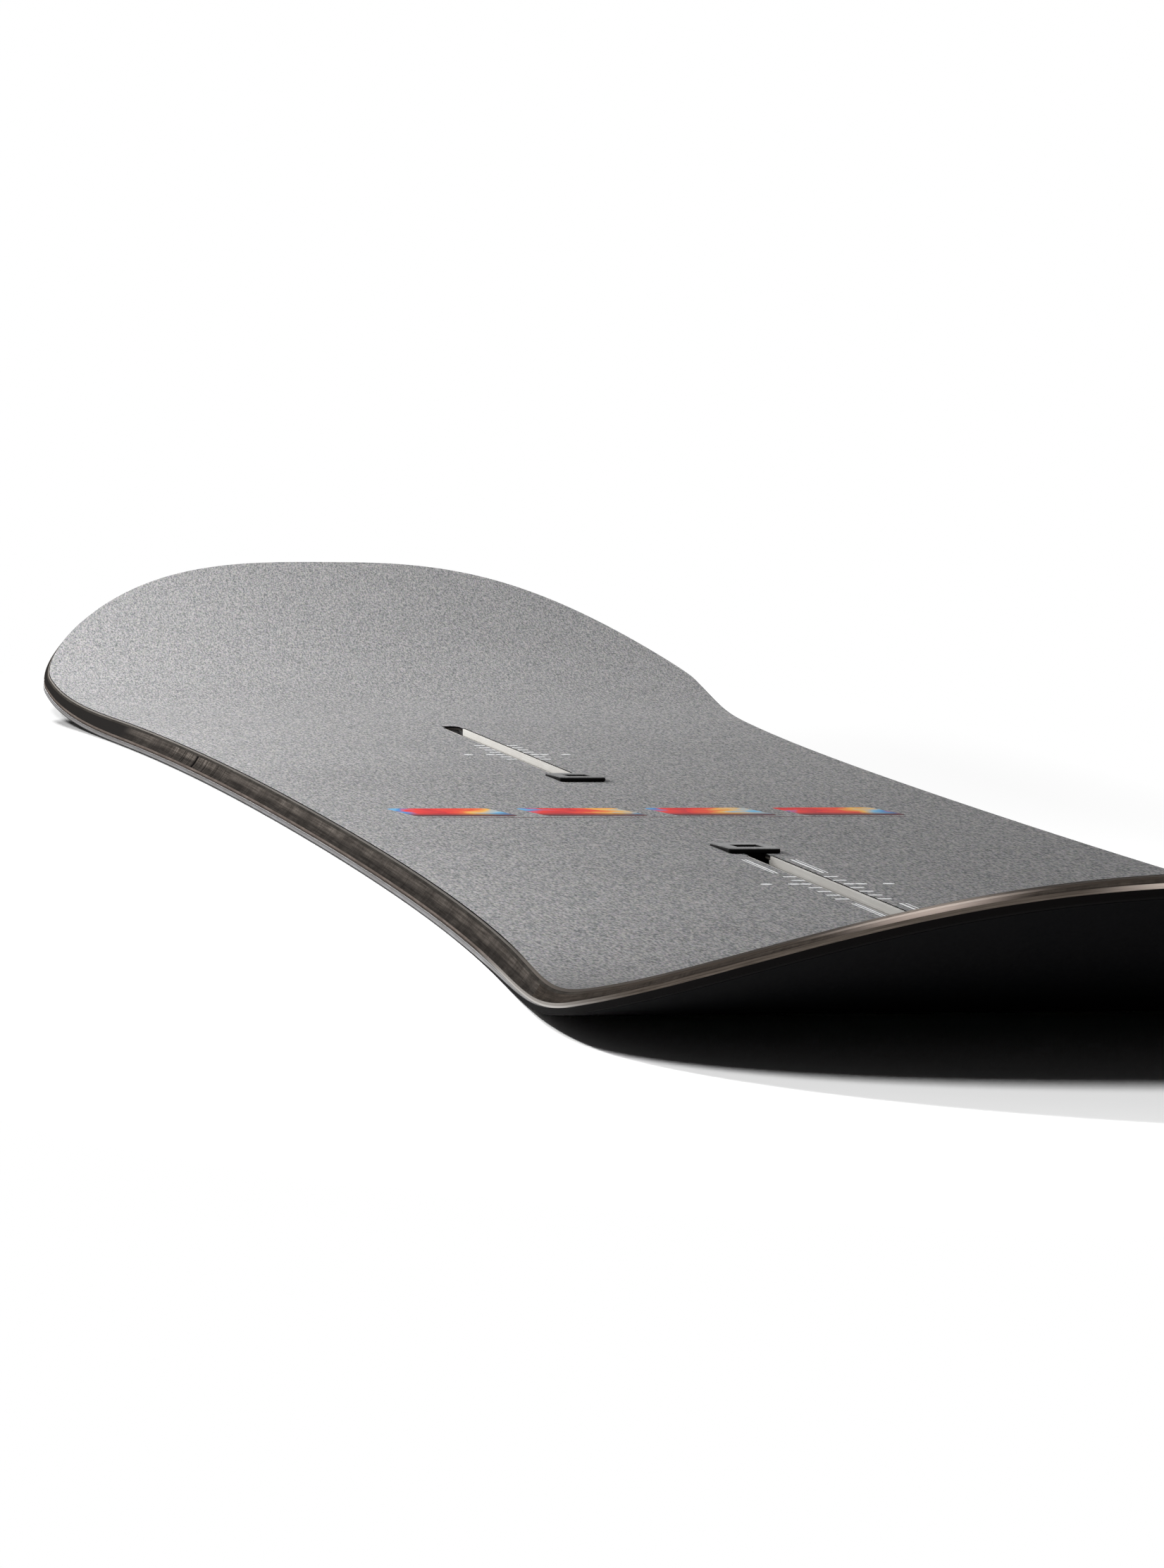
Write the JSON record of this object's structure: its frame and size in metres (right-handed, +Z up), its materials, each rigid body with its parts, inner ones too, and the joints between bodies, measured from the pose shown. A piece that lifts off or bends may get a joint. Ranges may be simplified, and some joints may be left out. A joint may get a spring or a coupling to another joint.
{
  "type": "snowboard",
  "caption": "Twin-tip snowboard with sidecut, rocker tips, steel edges, layered core, slotted binding rails and lift-out rubber slot covers.",
  "frame": {"origin": "middle of the board on the plane it rests on", "axes": "+X along the board towards the nose, +Y across it, +Z up out of the deck"},
  "size_m": [1.639, 0.295, 0.061],
  "materials": {
    "base": "sintered polyethylene, satin black",
    "edge_steel": "ground steel edge",
    "damper": "thin rubber foil",
    "laminate": "glass cloth in resin",
    "core": "glued laths of light wood",
    "sidewall": "milled dark plastic with fine scratches",
    "spacer": "milled brown-grey plastic",
    "topsheet": "matte speckled grey film",
    "floor": "thin composite strip",
    "rail": "pale pultruded composite, fine lines along it",
    "block": "moulded black plastic",
    "cover": "moulded black rubber"
  },
  "bodies": {
    "board": {"base_sheet": "base", "steel_edge_left": "edge_steel", "steel_edge_right": "edge_steel", "edge_damper_left": "damper", "edge_damper_right": "damper", "lower_laminate": "laminate", "core_strip_centre_middle": "core", "core_strip_centre_front": "core", "core_strip_centre_rear": "core", "core_strip_left_1": "core", "core_strip_left_2": "core", "core_strip_left_3": "core", "core_strip_left_4": "core", "core_strip_right_1": "core", "core_strip_right_2": "core", "core_strip_right_3": "core", "core_strip_right_4": "core", "sidewall_left_front": "sidewall", "sidewall_left_rear": "sidewall", "sidewall_right_front": "sidewall", "sidewall_right_rear": "sidewall", "tip_spacer_nose": "spacer", "tip_spacer_tail": "spacer", "upper_laminate": "laminate", "topsheet": "topsheet", "slot_floor_front": "floor", "slot_floor_rear": "floor", "slot_rail_left_front": "rail", "slot_rail_left_rear": "rail", "slot_rail_right_front": "rail", "slot_rail_right_rear": "rail", "slot_mouth_frame_front": "block", "slot_mouth_frame_rear": "block", "slot_end_block_front": "block", "slot_end_block_rear": "block"},
    "cover_front": {"slot_cover_front": "cover"},
    "cover_rear": {"slot_cover_rear": "cover"}
  },
  "joints": [
    {"name": "cover_front_lift", "type": "slide", "parent": "board", "child": "cover_front", "axis": [0, 0, 1], "range_m": [0, 0.02]},
    {"name": "cover_rear_lift", "type": "slide", "parent": "board", "child": "cover_rear", "axis": [0, 0, 1], "range_m": [0, 0.02]}
  ]
}
